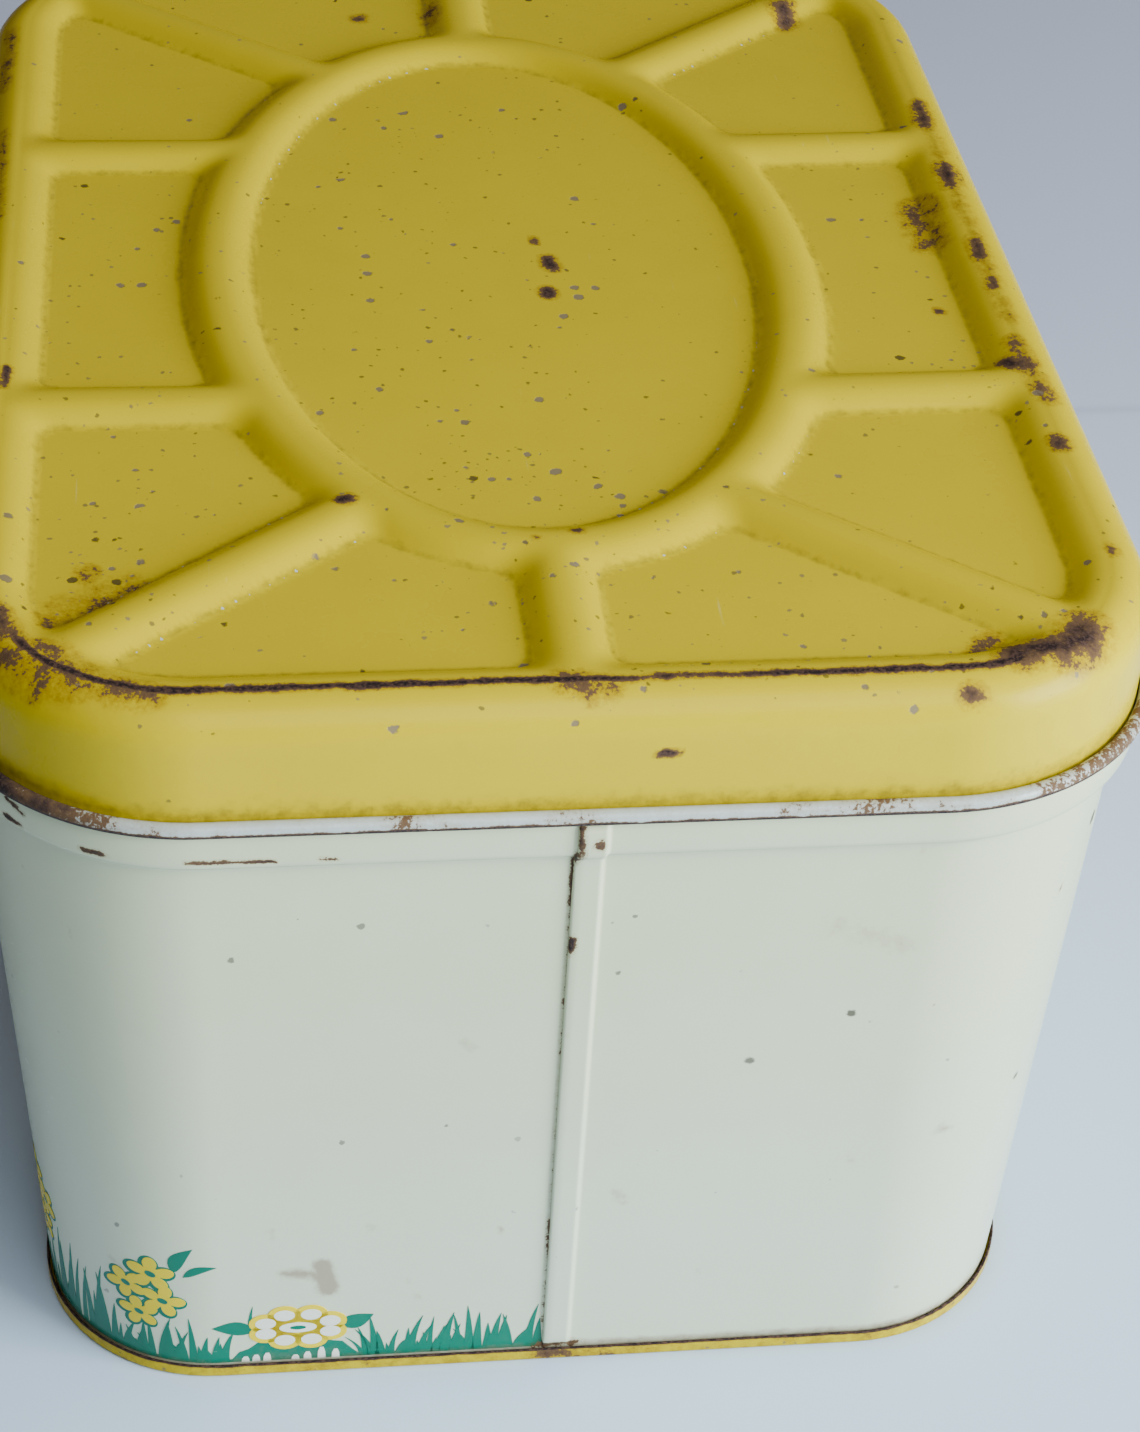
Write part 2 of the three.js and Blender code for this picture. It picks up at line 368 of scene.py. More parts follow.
def paintedMetal(name, look):
    # one build for every painted face: film, a tint towards the top, grime with painted shade, stains,
    # specks and rust
    material, tree, shader = newMaterial(name)
    where = putNode(tree, "TexCoord").outputs["Object"]
    film = useGroup(tree, paintFilm, {"Fade": look["fade"]})
    colour = mixColour(tree, film.outputs["Fading"], look["paint"], look["faded"])
    scratched = times(tree, film.outputs["Scratch"], 0.25)
    colour = mixColour(tree, scratched, colour, look["scratch"])
    colour = mixColour(tree, attributeValue(tree, "topTint"), colour, look["topTint"], "MULTIPLY")

    grimeAndShadeNoise = noiseNode(tree, where, 420.0, 5.0, 0.65).outputs[0]
    # painted shade along the foot of each bead, darkest at its edge
    creaseShade = times(tree, nearZero(tree, attributeValue(tree, "creaseShadeAt")), look["creaseShade"])
    dirtAndShade = mathNode(tree, "MAXIMUM", attributeValue(tree, "grimeAndShade"), creaseShade)
    grimeAndShadeLevel = mathNode(tree, "ADD", dirtAndShade, mathNode(tree, "SUBTRACT", grimeAndShadeNoise, 0.5))
    # grime and painted shade share one colour
    grimeAndShade = times(tree, ramp(tree, grimeAndShadeLevel, 0.15, 0.9), look["grimeAndShadeStrength"])
    colour = mixColour(tree, grimeAndShade, colour, look["grimeAndShade"])

    # worn lines: the rubbed lid crest and the raw edge under the curl are wear; the line on the base
    # band is rust and painted shadow
    wobble = mathNode(tree, "SUBTRACT", noiseNode(tree, where, 90.0, 4.0, 0.6).outputs[0], 0.5)
    line = nearZero(tree, mathNode(tree, "MULTIPLY_ADD", wobble, 1.6, attributeValue(tree, "lineAt")))
    line = times(tree, line, attributeValue(tree, "lineWearAndShade"))
    rustAndShadeLevel = mathNode(tree, "MAXIMUM", attributeValue(tree, "rust"), line)
    rust = useGroup(tree, rustPatches, {"Level": rustAndShadeLevel, "Size": look["rustSize"]})
    stain = times(tree, rust.outputs["Stain"], look["stainStrength"])
    colour = mixColour(tree, stain, colour, look["stain"], "MULTIPLY")

    speckLevel = attributeValue(tree, "specks")
    size = look["speckSize"]
    pale = look["speckPale"]
    colour, pitted = laySpecks(tree, colour, speckLevel, size, largeSpecks, pale)
    moreLevel = times(tree, speckLevel, 1.8)
    colour, _ = laySpecks(tree, colour, moreLevel, size * 1.9, smallSpecks, pale)
    colour = mixColour(tree, rust.outputs["Rust"], colour, rust.outputs["Colour"])
    tree.links.new(colour, shader.inputs["Base Color"])

    worn = mathNode(tree, "MAXIMUM", rust.outputs["Rust"], pitted)
    roughness = mathNode(tree, "ADD", film.outputs["Gloss"], look["roughness"])
    roughness = mathNode(tree, "MULTIPLY_ADD", grimeAndShade, 0.25, roughness)
    roughness = mathNode(tree, "MAXIMUM", roughness, times(tree, worn, 0.82))
    tree.links.new(roughness, shader.inputs["Roughness"])
    shader.inputs["Specular IOR Level"].default_value = look["shine"]

    height = times(tree, film.outputs["Height"], 0.05)
    height = mathNode(tree, "SUBTRACT", height, times(tree, worn, 0.5))
    height = mathNode(tree, "ADD", height, times(tree, rust.outputs["Height"], 1.2))
    bump = putNode(tree, "Bump", {"Height": height, "Distance": 0.0002, "Strength": 0.6})
    tree.links.new(bump.outputs[0], shader.inputs["Normal"])
    return material


# colours are linear; a tint colour multiplies the paint where its attribute says, and one number sets
# the painted shade along the foot of the beads
yellowLook = dict(
    paint=rgb(0.585, 0.42, 0.0), faded=rgb(0.62, 0.455, 0.0), fade=0.8, scratch=rgb(0.7, 0.6, 0.3),
    grimeAndShade=rgb(0.12, 0.08, 0.015), grimeAndShadeStrength=0.75, stain=rgb(0.50, 0.34, 0.2), stainStrength=0.7,
    speckSize=260.0, speckPale=rgb(0.165, 0.125, 0.1), roughness=0.2, rustSize=260.0,
    creaseShade=0.42, shine=0.13, topTint=rgb(1.0, 1.0, 1.0),
)
creamLook = dict(
    paint=rgb(0.63, 0.66, 0.46), faded=rgb(0.67, 0.695, 0.50), fade=0.7, scratch=rgb(0.4, 0.38, 0.33),
    grimeAndShade=rgb(0.27, 0.18, 0.10), grimeAndShadeStrength=0.7, stain=rgb(0.75, 0.62, 0.48), stainStrength=0.55,
    speckSize=160.0, speckPale=rgb(0.3, 0.27, 0.2), roughness=0.14, rustSize=420.0,
    creaseShade=0.0, shine=0.3, topTint=rgb(1.0, 0.985, 0.86),
)
innerLook = dict(
    paint=rgb(0.49, 0.53, 0.485), faded=rgb(0.52, 0.55, 0.505), fade=0.7, scratch=rgb(0.4, 0.4, 0.38),
    grimeAndShade=rgb(0.2, 0.17, 0.13), grimeAndShadeStrength=0.6, stain=rgb(0.7, 0.55, 0.4), stainStrength=0.6,
    speckSize=220.0, speckPale=rgb(0.3, 0.25, 0.2), roughness=0.18, rustSize=330.0,
    creaseShade=0.0, shine=0.4, topTint=rgb(1.0, 1.0, 1.0),
)
yellowPaint = paintedMetal("yellowPaint", yellowLook)
creamPaint = paintedMetal("creamPaint", creamLook)
innerCoat = paintedMetal("innerCoat", innerLook)
print("materials made")


# lid

lidForm = dict(
    sheet=0.0005, cell=0.00105, innerCell=0.0022, beadHeight=0.00315, beadWidth=0.0145, crown=2.5,
    crestInset=0.008, skirtRound=0.0075, blend=0.0045, sag=0.0008, wave=0.00012,
    ovalLong=0.096, ovalShort=0.0513, sideSpoke=0.0515,
    cornerFrom=(0.0855, 0.031), cornerTo=(0.1345, 0.090), hemWidth=0.0012, hemHeight=0.004,
    skirtRows=(0.92, 0.86, 0.8, 0.6, 0.4, 0.25, 0.1),
)


def distanceTo(start, end, x, y):
    alongX = end[0] - start[0]
    alongY = end[1] - start[1]
    share = ((x - start[0]) * alongX + (y - start[1]) * alongY) / (alongX**2 + alongY**2)
    share = min(max(share, 0), 1)
    return math.hypot(x - start[0] - share * alongX, y - start[1] - share * alongY)


def beadDistance(x, y):
    # distance to the nearest bead's crest, rounded where beads meet; the pattern mirrors both ways
    x = abs(x)
    y = abs(y)
    form = lidForm
    halfBead = form["beadWidth"] / 2
    longAxis = form["ovalLong"] + halfBead
    shortAxis = form["ovalShort"] + halfBead
    grow = math.hypot(x / longAxis, y / shortAxis)
    steep = math.hypot(x / longAxis**2, y / shortAxis**2)
    ring = grow * abs(grow - 1) / steep if steep > 1e-6 else shortAxis
    distances = [
        -planOffset(x, y) - form["crestInset"],
        ring,
    ]
    if grow > 1:
        edgeX = plan["halfLength"] - form["crestInset"]
        edgeY = plan["halfWidth"] - form["crestInset"]
        distances.append(distanceTo((longAxis, 0), (edgeX, 0), x, y))
        distances.append(distanceTo((form["sideSpoke"], 0.04), (form["sideSpoke"], edgeY), x, y))
        distances.append(distanceTo(form["cornerFrom"], form["cornerTo"], x, y))
    nearest, second = sorted(distances)[:2]
    close = max(form["blend"] - (second - nearest), 0) / form["blend"]
    return nearest - close * close * form["blend"] / 4


def beadShape(distance):
    # 1 on the crest, 0 on the flat panel, with a firm edge where the bead meets the panel
    form = lidForm
    share = min(max(distance, 0) / (form["beadWidth"] / 2), 1)
    return (1 - share ** form["crown"]) ** 1.12


def toBeadEdge(x, y):
    # moves a grid point that lies close to a bead's edge onto it, so that the edge reads as a clean line
    half = lidForm["beadWidth"] / 2
    away = beadDistance(x, y) - half
    if abs(away) > lidForm["cell"] * 0.5:
        return x, y
    nudge = 0.0002
    slopeX = (beadDistance(x + nudge, y) - beadDistance(x - nudge, y)) / (2 * nudge)
    slopeY = (beadDistance(x, y + nudge) - beadDistance(x, y - nudge)) / (2 * nudge)
    steep = slopeX**2 + slopeY**2
    if steep < 0.3:
        return x, y
    return x - away * slopeX / steep, y - away * slopeY / steep


def toRoundedCorner(x, y, inset):
    # bends a square-cornered grid point into the rounded outline
    radius = plan["corner"] - inset
    u = (abs(x) - plan["endX"]) / radius
    v = (abs(y) - plan["sideY"]) / radius
    if u <= 0 or v <= 0:
        return x, y
    newU = u * math.sqrt(1 - v * v / 2)
    newV = v * math.sqrt(1 - u * u / 2)
    return (
        math.copysign(plan["endX"] + newU * radius, x),
        math.copysign(plan["sideY"] + newV * radius, y),
    )


def pressSkin(name, cell, depth, loops):
    # one face of the pressed sheet: the panel as a grid, then the rounding and skirt loop by loop
    form = lidForm
    inset = form["crestInset"]
    length = 2 * (plan["halfLength"] - inset)
    width = 2 * (plan["halfWidth"] - inset)
    deselectAll()
    bpy.ops.mesh.primitive_grid_add(
        x_subdivisions=round(length / cell), y_subdivisions=round(width / cell),
        size=1, location=(0, 0, 0),
    )
    skin = bpy.context.object
    skin.name = name
    openForEdit(skin)
    bpy.ops.mesh.select_all(action="SELECT")
    bpy.ops.transform.resize(value=(length, width, 1))

    def pressed(co):
        x, y = toRoundedCorner(co.x, co.y, inset)
        if planOffset(x, y) < -inset - cell:
            x, y = toBeadEdge(x, y)
        drop = form["beadHeight"] * (1 - beadShape(beadDistance(x, y)))
        sag = form["sag"] * (1 - (x / plan["halfLength"]) ** 2) * (1 - (y / plan["halfWidth"]) ** 2)
        wave = form["wave"] * noise.noise(Vector((x, y, 0)) * 22) * smooth(0, 0.004, drop + 0.002)
        return Vector((x, y, crestTop - depth - drop - sag + wave))

    moveSelected(skin, pressed)
    pickVerts(skin, lambda v: v.is_boundary)
    for offset, z in loops:
        bpy.ops.mesh.extrude_region_move()
        moveSelected(skin, lambda co: onPlan(co, offset, z))
    bpy.ops.mesh.select_all(action="SELECT")
    bpy.ops.mesh.normals_make_consistent(inside=depth > 0)
    closeEdit()
    return skin


def makeLid():
    form = lidForm
    sheet = form["sheet"]
    rounding = form["skirtRound"]
    centre = (-rounding, crestTop - rounding)
    foot = lidLow.z + sheet
    hem = form["hemWidth"]
    hemTop = foot + form["hemHeight"]
    skirt = centre[1] - foot
    outerLoops = arcPoints(centre, rounding, 90, 0, 9)
    outerLoops += [(0, foot + share * skirt) for share in form["skirtRows"]]
    outerLoops += arcPoints((-hem / 2, foot), hem / 2, 0, -180, 6)
    outerLoops += [(-hem, hemTop)]
    innerLoops = arcPoints(centre, rounding - sheet, 90, 0, 5)
    innerLoops += [(-sheet, foot + 0.5 * skirt)]
    innerLoops += arcPoints((-hem / 2, foot), hem / 2 - sheet, 0, -180, 3)
    innerLoops += [(sheet - hem, hemTop)]
    lid = pressSkin("lid_pressing", form["cell"], 0, outerLoops)
    inner = pressSkin("lid_inside", form["innerCell"], sheet, innerLoops)
    for skin in (lid, inner):
        skin.data.materials.append(yellowPaint)
        skin.data.materials.append(innerCoat)
    for face in inner.data.polygons:
        face.material_index = 1
    deselectAll()
    inner.select_set(True)
    lid.select_set(True)
    bpy.context.view_layer.objects.active = lid
    bpy.ops.object.join()
    openForEdit(lid)
    pickVerts(lid, lambda v: v.is_boundary)
    bpy.ops.mesh.bridge_edge_loops()
    bpy.ops.mesh.select_all(action="SELECT")
    bpy.ops.mesh.normals_make_consistent(inside=False)
    closeEdit()
    bpy.ops.object.shade_smooth_by_angle(angle=math.radians(60))
    return lid


def flatPoint(x, y):
    # marks on the pressed top are laid out on one level, just under the crest
    return Vector((x, y, crestTop - 0.001))


def topPoint(right, away):
    # a place on the lid seen from the +X end: how far right of the middle, and how far away, in mm
    return flatPoint(-away / 1000, right / 1000)


lidRust = [
    # start, end, radius and strength; right and away from the middle, in mm
    ((-84, -142), (-90, -134), 4.0, 0.54), ((-78, -145), (-72, -147), 2.8, 0.55),
    ((-96, -128), (-98, -122), 2.5, 0.6), ((-90, -141), (-96, -134), 4.0, 0.42),
    ((76, -143), (90, -139), 3.6, 0.82), ((84, -142), (90, -136), 4.5, 0.7),
    ((70, -138), (74, -134), 2.0, 0.55), ((-2, -146.5), (4, -148), 3.0, 0.55),
    ((0, -149), (2, -152), 1.0, 0.6), ((10, 5), (10.5, 1.5), 1.7, 0.9),
    ((8.5, -8), (8.8, -10), 1.6, 0.9), ((8, 14), (8, 12), 0.9, 0.7),
    ((78, 121), (78, 116), 3.2, 0.75), ((-23, 122), (-23, 121), 2.0, 0.55),
    ((-6, 124), (-6, 118), 2.5, 0.42), ((101, 67), (100, 57), 2.3, 0.66),
    ((100.5, 37), (100, 28), 2.4, 0.76), ((100, 3), (100, -4), 1.9, 0.72),
    ((100, -13), (100, -16), 1.8, 0.76), ((92, 24), (91, 8), 4.2, 0.42),
    ((96.5, -45), (97, -47), 1.9, 0.85), ((99, -38), (101, -60), 2.4, 0.5),
    ((99.5, -75), (99.5, -77), 2.0, 0.76), ((100.5, -112), (100.5, -113), 1.5, 0.8),
    ((101, 60), (100, -30), 2.6, 0.22), ((-99, -41), (-99.5, -48), 0.9, 0.9),
    ((-83, -106), (-83, -108), 2.2, 0.45), ((-85, -118), (-76, -112), 5.0, 0.32),
    ((-90, -120), (-89, -124), 2.0, 0.45), ((67, -153), (67.5, -153.5), 2.3, 1.35),
    ((-37, -89.2), (-36, -89), 1.5, 1.0), ((-103, 60), (-103, 20), 1.3, 0.4),
    ((-103, 110), (-104, 80), 1.6, 0.45), ((88, -20), (88, -20.4), 1.1, 0.85),
    ((24, -147), (24.3, -147), 0.8, 0.8), ((5, -101), (4.2, -101), 1.1, 0.7),
    ((-3, -103), (-3.4, -103), 0.8, 0.7),
]
lidSpecks = [
    ((-5, -90), (0, -112), 22, 0.5), ((-70, -112), (-84, -108), 14, 0.5),
    ((-20, -10), (-10, -60), 34, 0.26), ((-84, -85), (-70, -80), 14, 0.3),
    ((90, -40), (96, -60), 10, 0.4), ((84, -140), (70, -134), 12, 0.4),
    ((-10, 60), (5, 62), 16, 0.3), ((-30, 30), (-20, 0), 24, 0.26), ((0, -146), (60, -146), 6, 0.4),
    ((30, -120), (40, -130), 30, 0.18), ((-80, 20), (-80, -60), 26, 0.16),
    ((70, -30), (75, 30), 24, 0.12), ((-10, -76), (10, -86), 14, 0.5),
]


def lidMarks(rows):
    return [(topPoint(*a), topPoint(*b), radius / 1000, strength) for a, b, radius, strength in rows]


lid = makeLid()
rustMarks = lidMarks(lidRust)
speckMarks = lidMarks(lidSpecks)
# one short rusty scratch on the front of the skirt
dash = dict(fromY=0.0135, toY=0.0163, z=0.161, radius=0.0008)
dashEnds = [Vector((plan["halfLength"], y, dash["z"])) for y in (dash["fromY"], dash["toY"])]
skirtRust = [(*dashEnds, dash["radius"], 1.0)]
rubbed = dict(edge=-0.0075, halfWidth=0.00105, heavy=(-0.078, 0.074), thinAt=0.019, thinHalf=0.011)
lidWear = dict(topSpecks=0.07, speckGain=1.15, skirtSpecks=0.015, footShade=0.5, skirtStain=0.3)
nowhere = 9.0  # for the line attribute and the bead-foot shade distance: too far from the line to show


def lidRustLevel(co, normal):
    if planOffset(co.x, co.y) < rubbed["edge"]:
        return markLevel(flatPoint(co.x, co.y), rustMarks)
    return max(markLevel(co, rustMarks), markLevel(co, skirtRust))


def lidSpeckLevel(co, normal):
    if co.z < crestTop - 0.004:
        return lidWear["skirtSpecks"]
    return lidWear["topSpecks"] + lidWear["speckGain"] * markLevel(flatPoint(co.x, co.y), speckMarks)


def lidGrimeAndShade(co, normal):
    # painted shadow where the skirt meets the rim, and soft stains a little higher
    above = co.z - rimTop
    foot = (1 - smooth(0, 0.0022, above)) * smooth(-0.005, -0.001, above)
    stain = smooth(0.1, 0.5, noise.noise(co * 60)) * (1 - smooth(0, 0.009, above))
    return max(lidWear["footShade"] * foot, lidWear["skirtStain"] * stain)


def lidLineWear(co, normal):
    # the front crest is rubbed bare from corner to corner, with one thin stretch
    if co.x < 0.1 or co.z < crestTop - 0.006:
        return 0.0
    left, right = rubbed["heavy"]
    fade = smooth(left - 0.024, left - 0.012, co.y) * (1 - smooth(right, right + 0.01, co.y))
    thin = math.exp(-((co.y - rubbed["thinAt"]) / rubbed["thinHalf"]) ** 2)
    patchy = 0.14 * noise.noise(Vector((0, co.y * 70, 0)))
    return fade * (1.02 - 0.42 * thin + patchy)


def lidLineAt(co, normal):
    return (planOffset(co.x, co.y) - rubbed["edge"]) / rubbed["halfWidth"]


def lidCreaseShade(co, normal):
    # how far from the bead's edge, in widths of the painted shade along it
    if planOffset(co.x, co.y) > -lidForm["crestInset"]:
        return nowhere
    return min((beadDistance(co.x, co.y) - lidForm["beadWidth"] / 2) / 0.0011, nowhere)


paintField(lid, "rust", lidRustLevel)
paintField(lid, "specks", lidSpeckLevel)
paintField(lid, "grimeAndShade", lidGrimeAndShade)
paintField(lid, "lineAt", lidLineAt)
paintField(lid, "lineWearAndShade", lidLineWear)
paintField(lid, "creaseShadeAt", lidCreaseShade)
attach(lid, "lid")
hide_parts("lid")
print("lid made")


# walls

wallForm = dict(
    sheet=0.0005, row=0.0015, step=0.003, fineStep=0.0012,
    footInset=-0.0100, topInset=-0.0029, footZ=0.0008,
    shoulderZ=0.1385, shoulderRise=0.004, shoulderBelow=0.002,
    collarInset=0.0003, collarBulge=0.00035,
    curlRadius=0.00145, curlEnd=-50, rawAngle=28.0, rawSpread=26.0,
    seamWidth=0.005, seamEase=0.0004, seamTongue=0.0042, seamLift=0.00095,
    seamFoot=0.0042, seamHead=0.1472, kink=0.0002,
)


def wallFace():
    # inner face of the wall from foot to curl as offset and height
    form = wallForm
    wallTop = form["shoulderZ"] - form["shoulderBelow"]
    rows = round(wallTop / form["row"])
    face = []
    for i in range(rows):
        share = i / rows
        face.append((form["footInset"] + share * (form["topInset"] - form["footInset"]),
                     form["footZ"] + share * (wallTop - form["footZ"])))
    for i in range(9):
        share = i / 8
        eased = (1 - math.cos(share * math.pi)) / 2
        face.append((form["topInset"] + (form["collarInset"] - form["topInset"]) * eased,
                     wallTop + share * form["shoulderRise"]))
    collarFoot = wallTop + form["shoulderRise"]
    collarTop = rimTop - form["curlRadius"]
    for i in range(1, 14):
        share = i / 14
        face.append((form["collarInset"] + form["collarBulge"] * math.sin(share * math.pi),
                     collarFoot + share * (collarTop - collarFoot)))
    return face


def wallOutline():
    form = wallForm
    inner = wallFace()
    outer = [(offset + form["sheet"], z) for offset, z in inner]
    centre = (form["collarInset"] + form["curlRadius"], rimTop - form["curlRadius"])
    inside = arcPoints(centre, form["curlRadius"] - form["sheet"], 180, form["curlEnd"], 12)
    outside = arcPoints(centre, form["curlRadius"], form["curlEnd"], 180, 18)
    return [(plan["halfLength"] + offset, 0, z) for offset, z in outer + inside + outside + inner[::-1]]


def kinkSeam(co):
    # above the shoulder the seam runs a little to the plain side
    form = wallForm
    rise = smooth(form["shoulderZ"] - 0.0015, form["shoulderZ"] + 0.003, co.z)
    near = 1 - smooth(0.006, 0.016, abs(co.y - form["seamWidth"] / 2))
    return Vector((co.x, co.y + form["kink"] * rise * near, co.z))


def seamLiftAt(z):
    form = wallForm
    rise = smooth(form["seamFoot"] - 0.0006, form["seamFoot"], z)
    return rise * (1 - smooth(form["seamHead"] - 0.0008, form["seamHead"], z))


def tongue(co):
    # a tongue of the front wall lies under the seam strip
    return Vector((co.x, wallForm["seamTongue"] * seamLiftAt(co.z), co.z))


def makeWall(name, side):
    form = wallForm
    wall = startOutline(name, wallOutline(), True)
    openForEdit(wall)
    bpy.ops.mesh.select_all(action="SELECT")
    if side < 0:
        moveSelected(wall, tongue)
        bpy.ops.mesh.extrude_region_move()
        moveSelected(wall, lambda co: Vector((co.x, 0, co.z)))
        carryRoundHalf(side, form["step"], form["fineStep"])
        bpy.ops.mesh.extrude_region_move()
        moveSelected(wall, tongue)
    else:
        start = form["seamWidth"] + 0.0005
        bpy.ops.transform.translate(value=(0, start, 0))
        extrudeAlong(0, form["seamEase"], 1)
        carryRoundHalf(side, form["step"], form["fineStep"], start + form["seamEase"])
        extrudeAlong(0, -form["seamEase"], 1)
        # the seam strip: the sheet steps out over the other wall, then folds down at its edge;
        # each row gives its place across and its share of the full lift
        edge = form["seamWidth"]
        strip = [(edge + 0.0003, 0.25), (edge, 0.75), (edge - 0.0003, 1.0), (edge - 0.0007, 1.0)]
        strip += [(0.0034, 1.0), (0.0018, 1.0), (0.0004, 1.0), (0.0001, 0.86), (-0.0001, 0.5)]
        for end in (1, -1):
            pickVerts(wall, lambda v: v.co.x * end > plan["endX"] and v.co.y < start + 0.00001)
            reached = 0.0
            for y, lift in strip:
                bpy.ops.mesh.extrude_region_move()
                gain = (lift - reached) * form["seamLift"]
                moveSelected(wall, lambda co: Vector((co.x + end * gain * seamLiftAt(co.z), y, co.z)))
                reached = lift
    bpy.ops.mesh.select_all(action="SELECT")
    bpy.ops.mesh.remove_doubles(threshold=0.00001)
    bpy.ops.mesh.fill_holes(sides=0)
    bpy.ops.mesh.select_all(action="SELECT")
    moveSelected(wall, kinkSeam)
    closeEdit()
    finishMesh(wall, 50)
    return wall


def wallPoint(along, z, lift=0.0):
    # a place on the wall's outer face: how far along its foot from the middle of the +X end,
    # negative on the -Y side, and how high, in metres
    form = wallForm
    wallTop = form["shoulderZ"] - form["shoulderBelow"]
    share = min(z / wallTop, 1)
    offset = form["footInset"] + form["sheet"] + share * (form["topInset"] - form["footInset"]) + lift
    if z > wallTop:
        offset += (form["collarInset"] - form["topInset"]) * smooth(0, form["shoulderRise"], z - wallTop)
    footRadius = plan["corner"] + form["footInset"]
    arc = footRadius * math.pi / 2
    side = math.copysign(1, along)
    rest = abs(along)
    radius = plan["corner"] + offset

    def roundCorner(middleX, angle):
        y = side * (plan["sideY"] + radius * math.sin(angle))
        return Vector((middleX + radius * math.cos(angle), y, z))

    if rest <= plan["sideY"]:
        return Vector((plan["endX"] + radius, side * rest, z))
    rest -= plan["sideY"]
    if rest <= arc:
        return roundCorner(plan["endX"], rest / footRadius)
    rest -= arc
    if rest <= 2 * plan["endX"]:
        return Vector((plan["endX"] - rest, side * (plan["sideY"] + radius), z))
    rest -= 2 * plan["endX"]
    if rest <= arc:
        return roundCorner(-plan["endX"], math.pi / 2 + rest / footRadius)
    rest -= arc
    return Vector((-plan["endX"] - radius, side * (plan["sideY"] - rest), z))


def wallMarks(rows):
    marks = []
    for a, b, radius, strength in rows:
        # marks on the seam strip sit on its raised face
        lift = wallForm["seamLift"] if 0.3 < a[0] < 5 else 0.0
        ends = [wallPoint(along / 1000, z / 1000, lift) for along, z in (a, b)]
        marks.append((*ends, radius / 1000, strength))
    return marks


wallRust = wallMarks([
    # seam edge
    ((0.5, 147), (0.7, 142), 0.6, 0.9), ((0.7, 141), (0, 137), 0.8, 0.8),
    ((0, 137), (0, 126), 0.45, 0.75), ((0, 126), (0, 96), 0.28, 0.4),
    ((0.4, 117.5), (0.4, 115), 0.8, 1.2), ((0, 96), (0, 45), 0.28, 0.36),
    ((0, 42), (0, 31), 0.6, 0.55), ((0, 31), (0, 4), 0.3, 0.42), ((4, 143.5), (4, 142.5), 0.8, 1.2),
    ((1, 93.5), (1, 92.5), 0.5, 0.8),
    # knocks on the collar and scratches below it
    ((-66, 141.4), (-52, 141.2), 0.45, 0.95), ((-44, 141.3), (-41, 141.2), 0.4, 0.8),
    ((-80, 141.4), (-77, 141.4), 0.7, 0.95), ((-93, 141.0), (-90.5, 141.0), 0.8, 0.95),
    ((-92, 145.5), (-89.5, 144.4), 0.7, 0.95), ((-97, 138), (-99, 140), 0.9, 0.9),
    ((46.5, 118), (47.5, 116), 0.35, 0.7), ((49, 118), (49.5, 117.5), 0.3, 0.6),
    ((62, 136), (61, 134), 0.35, 0.6), ((91, 115), (91.5, 113), 0.35, 0.6),
    ((-86, 117), (-85.5, 116), 0.35, 0.6), ((-94, 127), (-94, 126.5), 0.4, 0.6),
    ((10, 77), (10, 77), 0.3, 0.7), ((-9.5, 39), (-9.5, 39), 0.5, 0.5),
    # foot
    ((-2, 3.4), (7, 3.4), 1.2, 0.8),
])
wallGrime = wallMarks([
    ((-44, 31), (-43, 24), 2.1, 1.3), ((-51, 29), (-47, 29), 1.7, 0.85),
    ((-54, 43), (-54, 40), 0.8, 0.6), ((-35, 42), (-34, 41), 1.2, 0.5),
    ((12, 49), (14, 46), 1.6, 0.5), ((74, 61), (76, 60), 1.6, 0.6),
    ((-18, 92), (-16, 90), 1.4, 0.45), ((-9.5, 39), (-9.5, 39), 0.9, 1.0),
    ((57, 56), (58, 54), 1.0, 0.45), ((48, 118), (62, 112), 3.0, 0.4),
    ((-85, 29), (-83, 28), 0.9, 0.6), ((-28, 26), (-27, 25), 0.9, 0.5),
    ((30, 24), (32, 22), 1.6, 0.35), ((-26, 21), (-25, 20), 1.0, 0.5),
])


wallWear = dict(
    markedFrom=0.09, rim=0.1, rimChips=0.25, frontCorners=0.62, backCorners=0.36,
    insideFoot=0.3, footShade=0.55, underCurlShade=0.45, specks=0.02, tintFrom=0.02, tintTo=0.12,
)


def rimWear(co):
    # the curl is rubbed bare at the corners and chipped here and there along its edge
    corner = smooth(0.066, 0.098, abs(co.y)) * smooth(0.10, 0.13, abs(co.x))
    chips = wallWear["rimChips"] * smooth(0.25, 0.6, noise.noise(co * 85))
    heavy = wallWear["frontCorners"] if co.y < 0 else wallWear["backCorners"]
    return wallWear["rim"] + heavy * corner + chips


def markedLevel(co, marks):
    # every mark is at the +X end, so the rest of the wall is passed over
    return markLevel(co, marks) if co.x > wallWear["markedFrom"] else 0.0


def curlAngle(co):
    # 90 on the crown of the curl, 0 at its outermost, negative underneath
    form = wallForm
    across = planOffset(co.x, co.y) - form["collarInset"] - form["curlRadius"]
    return math.degrees(math.atan2(co.z - rimTop + form["curlRadius"], across))


def onCurl(co):
    form = wallForm
    if co.z < rimTop - 2 * form["curlRadius"] - 0.0001:
        return False
    return planOffset(co.x, co.y) > form["collarInset"] + 0.0002


def wallRustLevel(co, normal):
    level = markedLevel(co, wallRust)
    if onCurl(co):
        level = max(level, rimWear(co) * smooth(-35, -10, curlAngle(co)))
    inside = normal.dot(planNormal(co.x, co.y)) < -0.5
    if inside:
        level = max(level, wallWear["insideFoot"] * (1 - smooth(0, 0.01, co.z)))
    return level


def wallLineAt(co, normal):
    # the raw edge of the sheet shows as a dark line under the curl
    if not onCurl(co):
        return nowhere
    return (curlAngle(co) + wallForm["rawAngle"]) / wallForm["rawSpread"]


